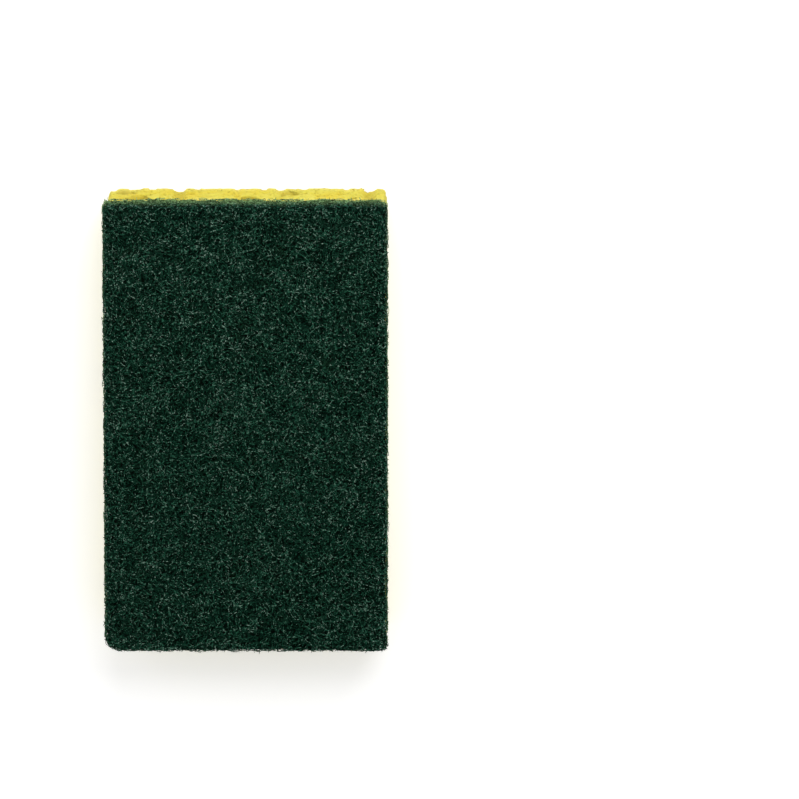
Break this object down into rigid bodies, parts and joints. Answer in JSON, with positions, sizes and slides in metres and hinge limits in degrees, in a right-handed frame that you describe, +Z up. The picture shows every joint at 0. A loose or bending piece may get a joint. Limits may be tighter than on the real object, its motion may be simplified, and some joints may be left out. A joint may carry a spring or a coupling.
{
  "type": "cleaning sponge",
  "caption": "Rectangular scrub sponge: a porous cellulose block with a nonwoven scouring pad glued flat over one face.",
  "frame": {"origin": "under the middle of the pad, in the wipe face that the sponge lies on", "axes": "+X across the width, +Y along the length, +Z up through the block to the scouring pad"},
  "size_m": [0.068, 0.111, 0.02],
  "materials": {
    "cellulose": "matte open-cell cellulose, cut square, with round pores of mixed sizes",
    "scouring_web": "coarse dark green nonwoven of resin-coated fibres, matted, with small glints"
  },
  "bodies": {
    "root": {"sponge_block": "cellulose", "scour_pad": "scouring_web"}
  },
  "joints": []
}
